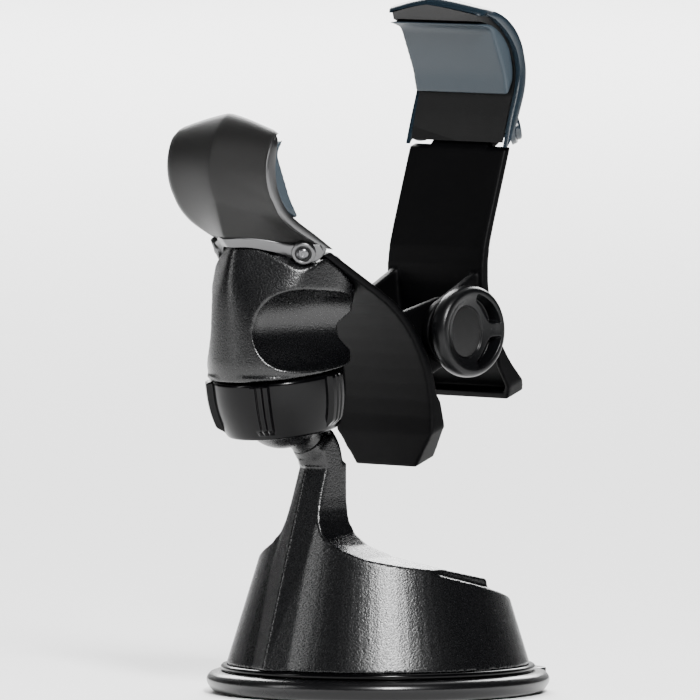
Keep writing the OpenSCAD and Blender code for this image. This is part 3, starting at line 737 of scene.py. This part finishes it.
def strip_rings(sign):
    """Edge strip with rounded long edges, from the eye to just short of the tip."""
    section = [(0.0, 14.3), (0.02, 14.9), (0.07, 15.14), (0.16, HALF), (0.84, HALF), (0.95, 15.1),
               (1.0, 14.8), (1.0, 13.85), (0.02, 13.85)]
    middle = 14.4
    rings = []
    for k in range(N - 2):
        base = EDGE[k] - EDGE_N[k] * 0.05
        d = INNER[k] - base
        taper = min(1.0, (N - 3 - k) / 3 + 0.15)
        off = HALF - half_at(k)
        ring = [((base + d * u).x, sign * (middle + (y - middle) * taper - off), (base + d * u).y)
                for u, y in section]
        rings.append(ring)
    return rings


def band_rings():
    """Band across the claw's foot; past the crown it stands on a flat tongue about the pin's eye."""
    rings = []
    for j in range(-60, 61):
        v = abs(j) / 60
        q, y = 29.6 + 11.85 * soft_crown(v, 0.0012), math.copysign(HALF * v, j)
        top, low = band_height(BAND_TOP, v), band_height(BAND_LOW, v)
        q += 0.2 + 1.0 * eased((v - 0.55) / 0.25) * (1 - max(0.0, (v - 0.9) / 0.1) * 0.8)
        lean = 0.22 * (top - low)
        yi = y * 0.985
        rings.append([(q - 0.3, y, top), (q - 0.07, y, top - 0.12), (q, y, top - 0.36),
                      (q - lean, y, low + 0.4), (q - lean - 0.08, y, low + 0.12), (q - lean - 0.32, y, low),
                      (q - lean - 1.3, yi, low), (q - 1.3, yi, top)])
    return rings


FACET = math.atan2(11.5, HALF)
EYE_Y = 12.95


def eye_place(sign):
    """Frame on a facet of the claw at the pin's end, its z out of the facet."""
    out = Vector((math.cos(FACET), sign * math.sin(FACET), -0.1)).normalized()
    x = Vector((0, 0, 1)).cross(out).normalized()
    y = out.cross(x)
    m = Matrix((x, y, out)).transposed().to_4x4()
    return Matrix.Translation(Vector((PIN[0], sign * EYE_Y, PIN[1]))) @ m


def placed(part, m):
    """A part's points moved by a matrix."""
    p, f = part
    return [tuple(m @ Vector(v)) for v in p], f


def eye_ring(sign):
    """Ring of the trim round the pin's end, on the band's tongue."""
    outline = rounded([(1.65, -1.6), (1.65, 0.3), (1.85, 0.5), (2.2, 0.5), (2.5, 0.25), (2.6, -1.6)],
                      [0, 0.15, 0.15, 0.3, 0.3, 0], 3)
    return placed(lathe(outline, 72), eye_place(sign))


def boss(sign):
    """Dark recessed ring round the pin's end."""
    outline = rounded([(0, 0.05), (1.25, 0.05), (1.3, 0.2), (1.6, 0.25), (1.9, 0.1), (1.9, -1.2), (0, -1.2)],
                      [0, 0.05, 0.08, 0.1, 0.1, 0, 0], 2)
    return placed(lathe(outline, 64), eye_place(sign))


def pin_parts():
    """Bar along y with a riveted head on each facet."""
    reach, radius = 12.6, 1.15
    points, faces = lathe([(0, -reach), (radius, -reach), (radius, reach), (0, reach)], 48)
    bar = [(PIN[0] + x, z, PIN[1] + y) for x, y, z in points]
    head = rounded([(0, 0.42), (0.4, 0.42), (0.48, 0.56), (0.8, 0.56), (1.12, 0.3), (1.12, -0.8), (0, -0.8)],
                   [0, 0.04, 0.06, 0.12, 0.1, 0, 0], 3)
    return [(bar, faces)] + [placed(lathe(head, 48), eye_place(s)) for s in (-1, 1)]


def pad_part():
    """Pad of the claw: its back along the shell, its front flat against the phone."""
    back_line = [EDGE[k] - EDGE_N[k] * 2.3 for k in range(18, N - 4, 3)]
    outline = [(p.x, p.y) for p in back_line]
    outline += [(29.9, 55.9), (32.75, 53.6), (32.75, 43.6), (31.9, 39.3), (32.7, 39.4)]
    outline = rounded(outline, [0.2] * len(back_line) + [0.5, 1.2, 1.2, 0.5, 0.5], 4)
    return prism(outline, half=13.75, bevel=0.7, steps=6)


for side, place, carrier, face, edge in (("near", NEAR, "head", "gunmetal", "silver"),
                                         ("far", FAR, "far_jaw", "navy", "navy")):
    claw = side + "_claw"
    shell = make(side + "_shell", [skin(claw_shell_rings())], place, 38)
    dress(shell, claw, face, "gunmetal", claw + "_shell")
    trim = [skin(strip_rings(s)) for s in (-1, 1)] + [skin(band_rings())] + [eye_ring(s) for s in (-1, 1)]
    dress(make(side + "_trim", trim, place, 40), claw, edge, "silver_trim", claw + "_trim")
    dress(make(side + "_boss", [boss(s) for s in (-1, 1)], place), claw, "inner", "gunmetal")
    dress(make(side + "_pin", pin_parts(), place), carrier, "dark_steel", "steel", claw + "_pin")
    pad = make(side + "_pad", [pad_part()], place, 45)
    fused(pad, 0.3, 3)
    dress(pad, claw, "pad", "pad_rubber", claw + "_pad")
    body = make(side + "_body", [skin(body_rings())], place, 40)
    dress(body, claw, "inner", "inner_black", claw + "_body")


# ---------- springs ----------
def coil(r, wire, z0, z1, turns, per_turn=30, sides=10):
    """Round wire wound about Z from one height to another."""
    steps, rings = int(turns * per_turn), []
    ring = [2 * math.pi * k / sides for k in range(sides)]
    for i in range(steps + 1):
        a, z = 2 * math.pi * turns * i / steps, z0 + (z1 - z0) * i / steps
        rings.append([((r + wire * math.cos(t)) * math.cos(a), (r + wire * math.cos(t)) * math.sin(a),
                       z + wire * math.sin(t)) for t in ring])
    return skin(rings)


dress(make("hinge_spring", [coil(3.2, 0.58, -6.2, 6.2, 7)], AXLE, 60), "head", "spring", "steel",
      "torsion_spring")
dress(make("plunger_spring", [coil(3.4, 0.4, 11.18, 17.75, 5)], ROW, 60), "plunger", "spring", "steel",
      "rod_spring")

# ---------- CAD nodes that keep their shape ----------
for node, mat in (("base_plate", "inner"), ("base_screws", "steel"), ("lever_pin", "steel"),
                  ("plunger_rod", "steel"), ("ball_seat_pad", "liner"), ("ball_grip_ring", "liner"),
                  ("jaw_screws", "steel"), ("hinge_axle", "steel"), ("axle_clip", "steel"),
                  ("wheel_insert", "brass")):
    nodes[node].material_slots[0].material = M[mat]
